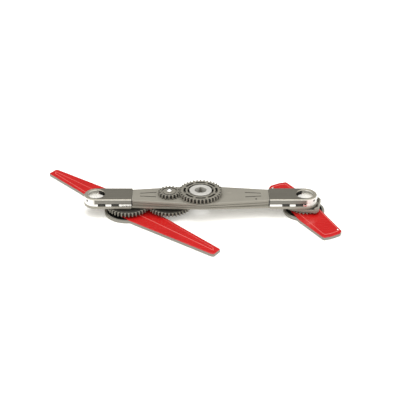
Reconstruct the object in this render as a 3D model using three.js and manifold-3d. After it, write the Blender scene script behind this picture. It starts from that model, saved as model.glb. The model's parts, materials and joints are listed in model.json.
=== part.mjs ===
// Geared twin-blade arm, lying flat. Millimetres, +Z up.
//
// A hollow plastic arm with a steel cap on each end carries a gear train. A sun gear turns
// round the fixed hub and drives a pinion; the pinion's shaft runs down through the arm to an
// idler gear, which turns the gear on the long blade's shaft. A short blade and a tray-shaped
// swing bracket turn on a pivot pin under the right-hand cap. X runs along the arm, the hub's
// axis is at x = 0, y = 0 of the model group, and both blades lie on z = 0.

import * as THREE from 'three';
import { mergeVertices } from 'three/addons/utils/BufferGeometryUtils.js';
import Module from 'manifold-3d';

const wasm = await Module();
wasm.setup();

// ---------------------------------------------------------------- driving dimensions

const HUB_X = 11.75;               // hub axis, from the middle of the whole object's box
const HUB_Y = 0;

const MODULE = 1;                  // gear module
const PRESSURE = THREE.MathUtils.degToRad(20);
const FLANK_CLEARANCE = 0.1;       // taken off each tooth's thickness at the pitch circle
const TIP_RELIEF = 0.1;            // taken off each tooth's height
const WHEEL_TEETH = 36;            // sun gear, idler gear and blade gear
const PINION_TEETH = 18;
const COLLAR_TEETH = 22;

const PINION_X = -MODULE * (WHEEL_TEETH + PINION_TEETH) / 2;
const LONG_BLADE_X = PINION_X - MODULE * WHEEL_TEETH;
const EYE_X = 90.4;                // axis of each cap's eye, and of the short blade
const LONG_BLADE_TURN = -42.5;     // degrees, blade direction at rest
const SHORT_BLADE_TURN = -64.9;
const BRACKET_TURN = -13.7;

const GAP = 0.1;                   // between pieces that touch
const SLIDE = 0.12;                // radial running clearance of a bore on its shaft

const BASE_TOP = 2.4;              // levels, from the floor up
const PLATE_BOTTOM = BASE_TOP + GAP;
const PLATE_TOP = 3.5;
const LOW_GEAR_BOTTOM = 5;
const LOW_GEAR_TOP = 8;
const ARM_BOTTOM = 8.5;
const BAND_TOP = 10.7;
const EYE_FLOOR = 13.7;            // upper face of the polished plate under each eye
const SEAM = 12.2;
const SHELL_TOP = 16.8;
const CAP_TOP = 17.5;
const FLANGE_BOTTOM = 16;
const FLANGE_TOP = 17.3;
const PINION_BOTTOM = 17.5;
const PINION_TOP = 20.4;
const SUN_BOTTOM = 18;
const SUN_WEB_TOP = 20.4;
const SUN_TOP = 21.3;
const HUB_TOP = 21.6;

const CAP_START = 59.6;            // inner end of a cap, from the hub axis
const CAP_HALF_WIDTH = 10.7;
const CAP_SHEET = 0.8;
const EYE_RADIUS = 7.5;
const BAND_END_RADIUS = 11;
const WINDOW_X = [73.5, 85.1];
const WINDOW_WIDTH = 6.6;
const WINDOW_TOP = 13;
const TONGUE_END = 80;             // shells reach this far into the caps
const TONGUE_HALF_WIDTH = 9.6;
const TONGUE_TOP = 16.5;
const WALL = 1.6;

const HUB_FLANGE_RADIUS = 9.65;
const HUB_BARREL_RADIUS = 6.9;
const HUB_BORE_RADIUS = 5.1;
const FLANGE_RADIUS = 18.7;

const IDLER_SHAFT_RADIUS = 1.9;
const BLADE_SHAFT_RADIUS = 3;
const SCREW_X = [-45, 22, 45, 66];

const LONG_DISC_RADIUS = 21;
const SHORT_DISC_RADIUS = 18;
const DISC_RIM = 2;
const DISH_FLOOR = 1.4;

// ---------------------------------------------------------------- materials

function finish(color, roughness, metalness) {
  return new THREE.MeshStandardMaterial({ color, roughness, metalness });
}

const greyPlastic = finish(0x9a998e, 0.5, 0);
const darkPlastic = finish(0x82817a, 0.5, 0);
const brushedSteel = finish(0x77756d, 0.35, 1);
const polishedSteel = finish(0xd8d6d0, 0.12, 1);
const satinSteel = finish(0xcfccc2, 0.3, 1);
const redGloss = finish(0xd42e2e, 0.25, 0);
const blackRubber = finish(0x111111, 0.8, 0);
const bronze = finish(0x9c7a45, 0.4, 1);

// ---------------------------------------------------------------- solid helpers

function toSolid(geometry) {
  const bare = geometry.index ? geometry.toNonIndexed() : geometry.clone();
  bare.deleteAttribute('normal');
  bare.deleteAttribute('uv');
  const merged = mergeVertices(bare, 1e-5);
  return new wasm.Manifold(new wasm.Mesh({
    numProp: 3,
    vertProperties: new Float32Array(merged.attributes.position.array),
    triVerts: new Uint32Array(merged.index.array),
  }));
}

function toGeometry(solid) {
  const mesh = solid.getMesh();
  const geometry = new THREE.BufferGeometry();
  geometry.setAttribute('position', new THREE.BufferAttribute(mesh.vertProperties, 3));
  geometry.setIndex(new THREE.BufferAttribute(mesh.triVerts, 1));
  geometry.computeVertexNormals();
  return geometry;
}

// The points of a closed outline, without the doubles where a line meets an arc.
function cleanPoints(path, curveSegments) {
  const points = path.getPoints(curveSegments);
  const last = points.length - 1;
  return points.filter((point, i) => point.distanceTo(points[i > 0 ? i - 1 : last]) > 1e-4);
}

// A flat outline raised from z = bottom to z = top.
function raise(shape, bottom, top, curveSegments = 12) {
  const clean = new THREE.Shape(cleanPoints(shape, curveSegments));
  clean.holes = shape.holes.map((hole) => new THREE.Path(cleanPoints(hole, curveSegments)));
  const options = { depth: top - bottom, bevelEnabled: false };
  return toSolid(new THREE.ExtrudeGeometry(clean, options).translate(0, 0, bottom));
}

function disc(radius, bottom, top, x = 0, y = 0, sides = 16) {
  const geometry = new THREE.CylinderGeometry(radius, radius, top - bottom, sides);
  return toSolid(geometry.rotateX(Math.PI / 2).translate(x, y, (bottom + top) / 2));
}

function ring(inner, outer, bottom, top, x = 0, y = 0, sides = 16) {
  return disc(outer, bottom, top, x, y, sides).subtract(disc(inner, bottom - 1, top + 1, x, y, sides));
}

function block(x0, x1, y0, y1, z0, z1) {
  const geometry = new THREE.BoxGeometry(x1 - x0, y1 - y0, z1 - z0);
  return toSolid(geometry.translate((x0 + x1) / 2, (y0 + y1) / 2, (z0 + z1) / 2));
}

function polygon(points) {
  return new THREE.Shape(points.map(([x, y]) => new THREE.Vector2(x, y)));
}

// A body of revolution about +Z from (radius, height) points that start and end on the axis.
function revolve(profile, sides) {
  const points = profile.map(([r, z]) => new THREE.Vector2(r, z));
  return toSolid(new THREE.LatheGeometry(points, sides).rotateX(Math.PI / 2));
}

function minus(solid, ...tools) {
  return tools.reduce((rest, tool) => rest.subtract(tool), solid);
}

function plus(solid, ...others) {
  return others.reduce((sum, other) => sum.add(other), solid);
}

// ---------------------------------------------------------------- gears

// Involute gear outline with a tooth centred on +X. Each flank has a point on the root
// circle, on the pitch circle and on the tip circle.
function gearShape(teeth) {
  const pitch = MODULE * teeth / 2;
  const tip = pitch + MODULE - TIP_RELIEF;
  const root = pitch - 1.25 * MODULE;
  const base = pitch * Math.cos(PRESSURE);
  const involute = (r) => Math.tan(Math.acos(base / r)) - Math.acos(base / r);
  const halfAtPitch = (Math.PI * MODULE / 2 - FLANK_CLEARANCE) / (2 * pitch);
  const halfAngle = (r) => halfAtPitch + involute(pitch) - involute(Math.max(r, base));
  const radii = [root, pitch, tip];
  const points = [];
  for (let tooth = 0; tooth < teeth; tooth += 1) {
    const centre = tooth * 2 * Math.PI / teeth;
    const rising = radii.map((r) => [r, centre - halfAngle(r)]);
    const falling = radii.slice().reverse().map((r) => [r, centre + halfAngle(r)]);
    for (const [r, angle] of [...rising, ...falling]) {
      points.push(new THREE.Vector2(r * Math.cos(angle), r * Math.sin(angle)));
    }
  }
  return new THREE.Shape(points);
}

// A curved slot between two radii, spanning an angle centred on `middle`.
function arcSlot(inner, outer, middle, span) {
  const slot = new THREE.Path();
  slot.absarc(0, 0, outer, middle - span / 2, middle + span / 2, false);
  slot.absarc(0, 0, inner, middle + span / 2, middle - span / 2, true);
  slot.closePath();
  return slot;
}

function sunGear() {
  const SPOKES = 8;
  const step = 2 * Math.PI / SPOKES;
  const shape = gearShape(WHEEL_TEETH);
  for (let i = 0; i < SPOKES; i += 1) {
    const middle = i * step;
    shape.holes.push(arcSlot(10, 11.3, middle, step * 0.82));
    shape.holes.push(arcSlot(13, 14.8, middle, step * 0.8));
  }
  return minus(
    raise(shape, SUN_BOTTOM, SUN_TOP, 3),
    disc(8, SUN_BOTTOM - 1, SUN_TOP + 1, 0, 0, 32),
    disc(10.6, SUN_WEB_TOP, SUN_TOP + 1, 0, 0, 32),
  );
}

function pinion() {
  return minus(
    raise(gearShape(PINION_TEETH), PINION_BOTTOM, PINION_TOP),
    disc(IDLER_SHAFT_RADIUS + GAP, PINION_BOTTOM - 1, PINION_TOP + 1),
    ring(5.5, 6.8, PINION_TOP - 0.8, PINION_TOP + 1, 0, 0, 24),
  );
}

function lowGear(bore) {
  return minus(
    raise(gearShape(WHEEL_TEETH), LOW_GEAR_BOTTOM, LOW_GEAR_TOP),
    disc(bore, LOW_GEAR_BOTTOM - 1, LOW_GEAR_TOP + 1),
  );
}

// ---------------------------------------------------------------- arm

// Six-sided outline of the arm: half width at the hub, half width at the ends, half length.
function armOutline(atHub, atCap, end) {
  return polygon([[-end, -atCap], [0, -atHub], [end, -atCap], [end, atCap], [0, atHub], [-end, atCap]]);
}

// A bar with both ends round: half length to the centre of the round end, then its radius.
function roundEndedBar(end, radius) {
  const shape = new THREE.Shape();
  shape.absarc(end, 0, radius, -Math.PI / 2, Math.PI / 2, false);
  shape.absarc(-end, 0, radius, Math.PI / 2, 3 * Math.PI / 2, false);
  return shape;
}

function upperShell() {
  const bottom = SEAM + GAP;
  const body = raise(armOutline(16, 9.7, CAP_START - GAP), bottom, SHELL_TOP);
  const tongue = block(-TONGUE_END, TONGUE_END, -TONGUE_HALF_WIDTH, TONGUE_HALF_WIDTH, bottom, TONGUE_TOP);
  const flange = disc(FLANGE_RADIUS, FLANGE_BOTTOM, FLANGE_TOP, 0, 0, 48);
  const hollow = raise(armOutline(16 - WALL, 9.7 - WALL, CAP_START), bottom - 1, SHELL_TOP - WALL);
  const tongueHollow = block(-TONGUE_END - 1, TONGUE_END + 1, -8, 8, bottom - 1, TONGUE_TOP - 1.2);
  const hubBoss = disc(9.2, bottom, SHELL_TOP - 1);
  const idlerBoss = disc(5, bottom, SHELL_TOP - 1, PINION_X);
  const pillars = SCREW_X.map((x) => disc(2.7, bottom, TONGUE_TOP - 1, x, 0, 10));
  const screwHoles = SCREW_X.map((x) => disc(1.25, bottom - 1, 15, x, 0, 10));
  const shell = plus(minus(plus(body, tongue, flange), hollow, tongueHollow), hubBoss, idlerBoss, ...pillars);
  const grooves = [-1, 1].flatMap((side) => [-1, 1].map((half) => {
    const groove = block(-7, 7, -0.4, 0.4, SHELL_TOP - 0.4, SHELL_TOP + 1);
    const tilt = THREE.MathUtils.radToDeg(Math.atan2(1.4, 14));
    return groove.rotate([0, 0, -side * half * tilt]).translate([side * 45.5, half * 3.2, 0]);
  }));
  return minus(
    shell,
    disc(HUB_BARREL_RADIUS + GAP, 0, 30, 0, 0, 24),
    disc(3.5, bottom - 1, SHELL_TOP - 1.3, PINION_X),
    disc(IDLER_SHAFT_RADIUS + SLIDE + 0.2, 0, 30, PINION_X),
    disc(0.6, SHELL_TOP - 1, SHELL_TOP + 1, 47.8, -7.7, 12),
    ...screwHoles,
    ...grooves,
  );
}

function lowerShell() {
  const capBar = raise(roundEndedBar(EYE_X, BAND_END_RADIUS), ARM_BOTTOM, BAND_TOP);
  const betweenCaps = block(-CAP_START, CAP_START, -20, 20, ARM_BOTTOM - 1, BAND_TOP + 1);
  const band = plus(
    minus(capBar, betweenCaps),
    raise(armOutline(11.9, 9.4, CAP_START + GAP), ARM_BOTTOM, BAND_TOP),
  );
  const wallOuter = plus(
    raise(armOutline(14.2, 9.5, CAP_START - GAP), BAND_TOP - 0.4, SEAM),
    block(-TONGUE_END, TONGUE_END, -TONGUE_HALF_WIDTH + 0.2, TONGUE_HALF_WIDTH - 0.2, BAND_TOP - 0.4, SEAM),
  );
  const hollow = plus(
    raise(armOutline(14.2 - WALL, 9.5 - WALL, CAP_START), BAND_TOP, SEAM + 1),
    block(-TONGUE_END - 1, TONGUE_END + 1, -7.8, 7.8, BAND_TOP, SEAM + 1),
  );
  const tabs = [-1, 1].flatMap((end) => WINDOW_X.flatMap((x) => [-1, 1].map((side) => block(
    end * x - 2.7, end * x + 2.7, side * 9.75 - 0.75, side * 9.75 + 0.75, BAND_TOP - 0.4, SEAM,
  ))));
  const bosses = [
    disc(9.4, ARM_BOTTOM, SEAM),
    disc(5, ARM_BOTTOM, SEAM, PINION_X),
    disc(6.2, ARM_BOTTOM, 14.4, LONG_BLADE_X),
    ...SCREW_X.map((x) => disc(2.7, ARM_BOTTOM, SEAM, x, 0, 10)),
  ];
  const screwHoles = SCREW_X.flatMap((x) => [
    disc(1.35, 0, 20, x, 0, 10),
    disc(2.6, 0, ARM_BOTTOM + 1.2, x, 0, 10),
  ]);
  return minus(
    plus(minus(plus(band, wallOuter), hollow), ...tabs, ...bosses),
    disc(HUB_BARREL_RADIUS + GAP, 0, 30, 0, 0, 24),
    disc(9.3, 0, ARM_BOTTOM + 1.2, 0, 0, 24),
    disc(3.5, 0, 30, PINION_X),
    disc(4.7, 0, 30, LONG_BLADE_X),
    disc(BLADE_SHAFT_RADIUS + GAP, 0, 30, EYE_X),
    disc(5.1, ARM_BOTTOM + 0.4, 30, EYE_X),
    ...screwHoles,
  );
}

// One cap: a steel channel with a round nose, a round eye in its top, two windows in each
// side and two small holes in the nose wall. `end` is -1 for the left cap, 1 for the right,
// whose front wall has a square catch hole as well.
function endCap(end) {
  const outline = (radius, start) => {
    const shape = new THREE.Shape();
    shape.moveTo(start, -radius);
    shape.lineTo(EYE_X, -radius);
    shape.absarc(EYE_X, 0, radius, -Math.PI / 2, Math.PI / 2, false);
    shape.lineTo(start, radius);
    return shape;
  };
  const outer = raise(outline(CAP_HALF_WIDTH, CAP_START), BAND_TOP + GAP, CAP_TOP, 14);
  const innerOutline = outline(CAP_HALF_WIDTH - CAP_SHEET, CAP_START - 1);
  const inner = raise(innerOutline, BAND_TOP - 1, CAP_TOP - CAP_SHEET, 14);
  const windows = WINDOW_X.map((x) => block(
    x - WINDOW_WIDTH / 2, x + WINDOW_WIDTH / 2, -20, 20, BAND_TOP - 1, WINDOW_TOP,
  ));
  const noseHoles = [-1, 1].map((side) => {
    const drill = toSolid(new THREE.CylinderGeometry(0.7, 0.7, 4, 6).rotateZ(Math.PI / 2));
    return drill.translate([CAP_HALF_WIDTH, 0, 0]).rotate([0, 0, side * 45]).translate([EYE_X, 0, 15.2]);
  });
  const cap = minus(outer, inner, disc(EYE_RADIUS, 0, 30, EYE_X, 0, 28), ...windows, ...noseHoles);
  const catchHole = block(88.9, 91, -20, -5, 12.3, 13.7);
  return end > 0 ? minus(cap, catchHole) : cap.rotate([0, 0, 180]);
}

// Polished plate under the eye.
function eyeLiner(end) {
  const plate = plus(
    disc(8.7, EYE_FLOOR - CAP_SHEET, EYE_FLOOR, EYE_X, 0, 20),
    block(TONGUE_END + 0.4, EYE_X, -8.7, 8.7, EYE_FLOOR - CAP_SHEET, EYE_FLOOR),
  );
  return end > 0 ? plate : plate.rotate([0, 0, 180]);
}

function driveHub() {
  const body = plus(
    disc(HUB_FLANGE_RADIUS, SUN_WEB_TOP + 0.2, HUB_TOP, 0, 0, 24),
    disc(HUB_BARREL_RADIUS, ARM_BOTTOM + GAP, HUB_TOP - 0.5, 0, 0, 24),
  );
  const keys = [-1, 1].map((side) => block(
    -0.9, 0.9, side * 4.9 - 1, side * 4.9 + 1, ARM_BOTTOM + 0.5, HUB_TOP - 0.4,
  ));
  return plus(minus(body, disc(HUB_BORE_RADIUS, 0, 30, 0, 0, 24)), ...keys);
}

function shellScrew(x) {
  return plus(
    disc(2.4, ARM_BOTTOM + GAP, ARM_BOTTOM + 1.1, x, 0, 10),
    disc(1.15, ARM_BOTTOM + 0.6, 14.8, x, 0, 10),
  );
}

function shortBladePivot() {
  return plus(
    disc(BLADE_SHAFT_RADIUS, 0.5, BAND_TOP - GAP),
    disc(4.9, ARM_BOTTOM + 0.5, BAND_TOP - GAP),
  );
}

// ---------------------------------------------------------------- idler

function idlerShaft() {
  const dome = [];
  const HEAD_RADIUS = 2.6;
  const HEAD_HEIGHT = 1.7;
  const DOME_STEPS = 3;
  const bottom = PINION_TOP + GAP;
  for (let i = 0; i <= DOME_STEPS; i += 1) {
    const angle = i / DOME_STEPS * Math.PI / 2;
    const radius = i === DOME_STEPS ? 0 : HEAD_RADIUS * Math.cos(angle);
    dome.push([radius, bottom + 0.2 + HEAD_HEIGHT * Math.sin(angle)]);
  }
  return revolve([
    [0, 4], [IDLER_SHAFT_RADIUS, 4], [IDLER_SHAFT_RADIUS, bottom], [HEAD_RADIUS, bottom], ...dome,
  ], 16);
}

// ---------------------------------------------------------------- blades

// Point-symmetric outline: the half with the tip at +x, then the same half turned 180 degrees.
function bladeShape(half) {
  return polygon([...half, ...half.map(([x, y]) => [-x, -y])]);
}

const longBladeHalf = [[14.6, -14], [102.0, -5.3], [103.8, -3.95], [102.6, 4.75]];
const shortBladeHalf = [[14.6, -13.7], [46.5, -10.4], [48.8, -9.8], [49.75, -3.3], [48.8, 5.95], [45.8, 9.4]];
const longScrewPlaces = [[88, 0.5], [45, 0.5], [-45, -0.5], [-88, -0.5]];
const shortRivetPlaces = [[43.4, 7], [-43.4, -7]];

function bladeBase(half, discRadius, bore) {
  const sides = 36;
  return minus(
    plus(raise(bladeShape(half), 0, BASE_TOP), disc(discRadius, 0, BASE_TOP, 0, 0, sides)),
    disc(discRadius - DISC_RIM, DISH_FLOOR + 0.2, BASE_TOP + 1, 0, 0, sides),
    disc(bore, -1, BASE_TOP + 1),
    disc(5.4, -1, DISH_FLOOR - 0.1),
  );
}

function longBladeBase() {
  const holes = longScrewPlaces.flatMap(([x, y]) => [disc(1, -1, 5, x, y, 10), disc(2.1, -1, 1.2, x, y, 10)]);
  return minus(bladeBase(longBladeHalf, LONG_DISC_RADIUS, BLADE_SHAFT_RADIUS + GAP), ...holes);
}

function longBladePlate() {
  const holes = longScrewPlaces.map(([x, y]) => disc(1, 0, PLATE_TOP - 0.3, x, y, 10));
  const blank = raise(bladeShape(longBladeHalf), PLATE_BOTTOM, PLATE_TOP);
  return minus(blank, disc(BLADE_SHAFT_RADIUS + GAP, 0, 9), ...holes);
}

function shortBladeBase() {
  const holes = shortRivetPlaces.map(([x, y]) => disc(0.8, -1, 5, x, y, 10));
  return minus(bladeBase(shortBladeHalf, SHORT_DISC_RADIUS, 4.5), ...holes);
}

function shortBladePlate() {
  const holes = shortRivetPlaces.map(([x, y]) => disc(0.8, 0, 5, x, y, 10));
  return minus(raise(bladeShape(shortBladeHalf), PLATE_BOTTOM, PLATE_TOP), disc(4.5, 0, 9), ...holes);
}

function pad(discRadius, bore) {
  return ring(bore, discRadius - DISC_RIM - 0.3, DISH_FLOOR + 0.3, BASE_TOP, 0, 0, 36);
}

function longBladeShaft() {
  return plus(
    disc(BLADE_SHAFT_RADIUS, 0.4, 15.1),
    disc(5.1, 0.4, DISH_FLOOR - 0.2),
  );
}

function bladeScrew() {
  return plus(disc(1.9, 0.3, 1.1, 0, 0, 10), disc(0.9, 0.8, PLATE_TOP - 0.4, 0, 0, 10));
}

function bladeRivet() {
  return plus(disc(0.7, 0.2, PLATE_TOP + 0.3, 0, 0, 10), disc(1, PLATE_TOP + GAP, PLATE_TOP + 0.5, 0, 0, 10));
}

// ---------------------------------------------------------------- swing bracket

// A shallow tray with two chamfered corners at its lip end and two round ones at its far end.
function bracketShape(inset) {
  const half = 10.4 - inset;
  const end = 13.6 - inset;
  const shape = new THREE.Shape();
  const corner = 5 - inset;
  shape.moveTo(-9, -half);
  shape.lineTo(11.2 - inset * 0.5, -half);
  shape.lineTo(end, -7.5 + inset * 0.4);
  shape.lineTo(end, 7.5 - inset * 0.4);
  shape.lineTo(11.2 - inset * 0.5, half);
  shape.lineTo(-9, half);
  shape.absarc(-9, half - corner, corner, Math.PI / 2, Math.PI, false);
  shape.absarc(-9, corner - half, corner, Math.PI, 3 * Math.PI / 2, false);
  return shape;
}

function swingBracket() {
  const FLOOR_BOTTOM = 5.2;
  const FLOOR_TOP = 6.2;
  const RIM_TOP = 8;
  const LIP_TOP = 10.3;
  const LIP_START = 10.2;
  const rim = raise(bracketShape(0), FLOOR_BOTTOM, RIM_TOP);
  const lip = raise(bracketShape(0), FLOOR_BOTTOM, LIP_TOP)
    .intersect(block(LIP_START, 20, -20, 20, 0, 20));
  const tray = minus(plus(rim, lip), raise(bracketShape(1.1), FLOOR_TOP, LIP_TOP + 1));
  return minus(tray, disc(BLADE_SHAFT_RADIUS + SLIDE, 0, 20), block(8.6, 11.4, -5, 5, 0, FLOOR_TOP + 1));
}

// ---------------------------------------------------------------- assembly

const part = new THREE.Group();
const machine = new THREE.Group();
machine.position.set(HUB_X, HUB_Y, 0);
part.add(machine);

function station(x, turn = 0) {
  const group = new THREE.Group();
  group.position.x = x;
  group.rotation.z = THREE.MathUtils.degToRad(turn);
  machine.add(group);
  return group;
}

function add(group, name, solid, material, turn = 0, place = [0, 0]) {
  const mesh = new THREE.Mesh(toGeometry(solid), material);
  mesh.name = name;
  mesh.rotation.z = THREE.MathUtils.degToRad(turn);
  mesh.position.set(place[0], place[1], 0);
  group.add(mesh);
}

// arm
add(machine, 'upper_shell', upperShell(), greyPlastic);
add(machine, 'lower_shell', lowerShell(), greyPlastic);
for (const [side, end] of [['left', -1], ['right', 1]]) {
  add(machine, `${side}_end_cap`, endCap(end), brushedSteel);
  add(machine, `${side}_eye_liner`, eyeLiner(end), polishedSteel);
}
add(machine, 'drive_hub', driveHub(), satinSteel);
add(machine, 'hub_lock_ring', ring(7.05, 9.1, ARM_BOTTOM + GAP, ARM_BOTTOM + 1.1, 0, 0, 24), brushedSteel);
SCREW_X.forEach((x, i) => add(machine, `shell_screw_${i + 1}`, shellScrew(x), polishedSteel));

// sun gear
add(machine, 'sun_washer', ring(7.1, 12, FLANGE_TOP + GAP, SUN_BOTTOM - GAP, 0, 0, 24), satinSteel);
add(machine, 'sun_bush', ring(7, 7.8, SUN_BOTTOM, SUN_WEB_TOP, 0, 0, 32), bronze);
add(machine, 'sun_gear', sunGear(), darkPlastic);

// pinion, its shaft and the idler gear
const idler = station(PINION_X);
add(idler, 'pinion', pinion(), darkPlastic, 180 / PINION_TEETH);
add(idler, 'idler_shaft', idlerShaft(), polishedSteel);
add(idler, 'idler_gear', lowGear(IDLER_SHAFT_RADIUS + GAP), darkPlastic);
add(idler, 'idler_washer', ring(2.05, 4.5, LOW_GEAR_TOP + GAP, ARM_BOTTOM - GAP, 0, 0, 16), satinSteel);
add(idler, 'idler_retaining_ring', ring(2, 3.6, 4.1, 4.8, 0, 0, 16), brushedSteel);
add(idler, 'idler_lower_bush', ring(2.02, 3.4, ARM_BOTTOM + GAP, SEAM - GAP, 0, 0, 16), bronze);
add(idler, 'idler_upper_bush', ring(2.02, 3.4, SEAM + 0.3, SHELL_TOP - 1.4, 0, 0, 16), bronze);

// long blade
const longAxis = station(LONG_BLADE_X);
const longBlade = station(LONG_BLADE_X, LONG_BLADE_TURN);
add(longAxis, 'long_blade_gear', lowGear(BLADE_SHAFT_RADIUS + GAP), darkPlastic, 180 / WHEEL_TEETH);
add(longAxis, 'long_blade_shaft', longBladeShaft(), polishedSteel);
add(longAxis, 'long_blade_spacer', ring(3.1, 8, PLATE_TOP + GAP, LOW_GEAR_BOTTOM - GAP), darkPlastic);
add(longAxis, 'long_blade_washer', ring(3.1, 6, LOW_GEAR_TOP + GAP, ARM_BOTTOM - GAP), satinSteel);
add(longAxis, 'long_blade_retaining_ring', ring(3.1, 4.6, 14.5, 15), brushedSteel);
add(longAxis, 'long_blade_bush', ring(BLADE_SHAFT_RADIUS + SLIDE, 4.6, ARM_BOTTOM + GAP, 14.3), bronze);
add(longBlade, 'long_blade_plate', longBladePlate(), redGloss);
add(longBlade, 'long_blade_base', longBladeBase(), greyPlastic);
add(longBlade, 'long_blade_pad', pad(LONG_DISC_RADIUS, BLADE_SHAFT_RADIUS + GAP), blackRubber);
longScrewPlaces.forEach((place, i) => {
  add(longBlade, `long_blade_screw_${i + 1}`, bladeScrew(), polishedSteel, 0, place);
});

// short blade
const shortAxis = station(EYE_X);
const shortBlade = station(EYE_X, SHORT_BLADE_TURN);
add(shortAxis, 'short_blade_pivot', shortBladePivot(), polishedSteel);
add(shortAxis, 'short_blade_retaining_ring', ring(3.1, 5, 0.5, 1.1), brushedSteel);
add(shortBlade, 'short_blade_plate', shortBladePlate(), redGloss);
add(shortBlade, 'short_blade_base', shortBladeBase(), greyPlastic);
add(shortBlade, 'short_blade_pad', pad(SHORT_DISC_RADIUS, 4.6), blackRubber);
add(shortBlade, 'short_blade_bush', ring(BLADE_SHAFT_RADIUS + SLIDE, 4.4, 1.4, 4.9), bronze);
add(shortBlade, 'short_blade_collar', minus(
  raise(gearShape(COLLAR_TEETH), PLATE_TOP + 0.2, LOW_GEAR_BOTTOM - GAP),
  disc(4.5, 0, 9),
), darkPlastic);
shortRivetPlaces.forEach((place, i) => {
  add(shortBlade, `short_blade_rivet_${i + 1}`, bladeRivet(), polishedSteel, 0, place);
});

// swing bracket
const bracket = station(EYE_X, BRACKET_TURN);
add(bracket, 'swing_bracket', swingBracket(), darkPlastic);
add(bracket, 'bracket_spacer', ring(BLADE_SHAFT_RADIUS + SLIDE, 5.5, 6.3, ARM_BOTTOM - 0.2), satinSteel);

export default part;
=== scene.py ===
"""Looks of the geared twin-blade arm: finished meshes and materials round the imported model.

Lengths below are millimetres in the row frame until mesh_piece() turns them into metres.
A body is (points, quads, triangles), three numpy arrays, and a profile is a list of
(inset, height) pairs that carries an outline up from its first flat face to its last.
"""

import json
import math

import bpy
import numpy as np
from mathutils import Matrix, Vector
from mathutils.geometry import tessellate_polygon


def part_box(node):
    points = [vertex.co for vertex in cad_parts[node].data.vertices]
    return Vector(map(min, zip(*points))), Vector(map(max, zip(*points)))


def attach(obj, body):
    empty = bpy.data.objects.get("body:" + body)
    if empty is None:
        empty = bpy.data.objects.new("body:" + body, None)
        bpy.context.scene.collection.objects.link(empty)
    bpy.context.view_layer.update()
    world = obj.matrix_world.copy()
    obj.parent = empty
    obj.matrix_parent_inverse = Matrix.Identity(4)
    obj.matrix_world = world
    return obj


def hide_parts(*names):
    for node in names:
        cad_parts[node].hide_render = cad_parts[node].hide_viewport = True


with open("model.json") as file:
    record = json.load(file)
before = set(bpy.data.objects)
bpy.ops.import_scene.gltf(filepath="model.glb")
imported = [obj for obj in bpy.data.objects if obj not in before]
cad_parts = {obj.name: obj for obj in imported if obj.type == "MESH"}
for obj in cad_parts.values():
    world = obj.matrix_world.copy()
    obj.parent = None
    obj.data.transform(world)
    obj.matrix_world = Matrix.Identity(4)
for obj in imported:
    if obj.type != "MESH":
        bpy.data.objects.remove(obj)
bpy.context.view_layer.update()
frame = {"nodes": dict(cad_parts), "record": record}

MM = 0.001
joint_places = {j["name"]: j.get("pos_m") for j in frame["record"]["behaviour"]["joints"]}
HUB_X = joint_places["sun_spin"][0] / MM
IDLER_X = joint_places["idler_spin"][0] / MM
LONG_X = joint_places["long_blade_spin"][0] / MM
SHORT_X = joint_places["short_blade_swivel"][0] / MM
EYE_REACH = SHORT_X - HUB_X          # hub axis to the axis of each eye

LONG_TURN = math.radians(-42.5)      # blade and bracket directions at rest
SHORT_TURN = math.radians(-64.9)
BRACKET_TURN = math.radians(-13.7)

BAND_TOP, EYE_FLOOR = 10.7, 13.7     # levels above the floor
SHELL_TOP, CAP_TOP = 16.8, 17.5
CAP_START = 59.6                     # inner end of a cap, from the hub axis
CAP_HALF_WIDTH = 10.7
TONGUE_END = 80.0                    # shells reach this far into the caps
WINDOW_PLACES = (73.5, 85.1)         # middles of a cap's windows, from the hub axis
NOSE_HOLE_Z = 15.0                   # level of the small holes in a cap's nose
NOSE_HOLE_OFFSET = 7.57              # from the eye's axis to such a hole, along X and along Y
CUP_WALL = (8.1, 8.7)                # inner and outer radius of the cup's wall
SCREW_PLACES = (-45, 22, 45, 66)     # shell screws, from the hub axis
WHEEL_TEETH, PINION_TEETH, COLLAR_TEETH = 36, 18, 22


# ---------------------------------------------------------------- outlines

def circle(radius, centre=(0, 0), count=64):
    """Points at equal angles round a centre, counter-clockwise."""
    angle = np.arange(count) * 2 * math.pi / count
    return np.column_stack([np.cos(angle), np.sin(angle)]) * radius + centre


def arc(radius, first, last, count, centre=(0, 0)):
    """Points of an arc between two angles in degrees, ends included."""
    angle = np.radians(np.linspace(first, last, count))
    return np.column_stack([np.cos(angle), np.sin(angle)]) * radius + centre


def filleted(corners, radius, steps=5):
    """A polygon with each corner replaced by an arc tangent to its two sides."""
    corners = np.asarray(corners, float)
    radius = np.broadcast_to(np.asarray(radius, float), len(corners))
    back = np.roll(corners, 1, 0) - corners
    ahead = np.roll(corners, -1, 0) - corners
    back /= np.linalg.norm(back, axis=1)[:, None]
    ahead /= np.linalg.norm(ahead, axis=1)[:, None]
    half = np.arccos(np.clip((back * ahead).sum(1), -1, 1)) / 2
    cut = (radius / np.tan(half))[:, None]
    middle = (back + ahead) / np.linalg.norm(back + ahead, axis=1)[:, None]
    centre = corners + middle * (radius / np.sin(half))[:, None]
    start = corners + back * cut - centre
    end = corners + ahead * cut - centre
    a0 = np.arctan2(start[:, 1], start[:, 0])
    sweep = (np.arctan2(end[:, 1], end[:, 0]) - a0 + math.pi) % (2 * math.pi) - math.pi
    angle = a0[:, None] + sweep[:, None] * np.linspace(0, 1, steps)
    points = np.stack([np.cos(angle), np.sin(angle)], -1) * radius[:, None, None]
    return (points + centre[:, None]).reshape(-1, 2)


def pushed(outline, inset):
    """An outline moved inwards by `inset` along the mitre of its two edges at each point."""
    edge = np.roll(outline, -1, 0) - outline
    edge /= np.linalg.norm(edge, axis=1)[:, None]
    normal = np.column_stack([-edge[:, 1], edge[:, 0]])
    before = np.roll(normal, 1, 0)
    mitre = (before + normal) / (1 + (before * normal).sum(1))[:, None]
    return outline + mitre * inset


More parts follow.
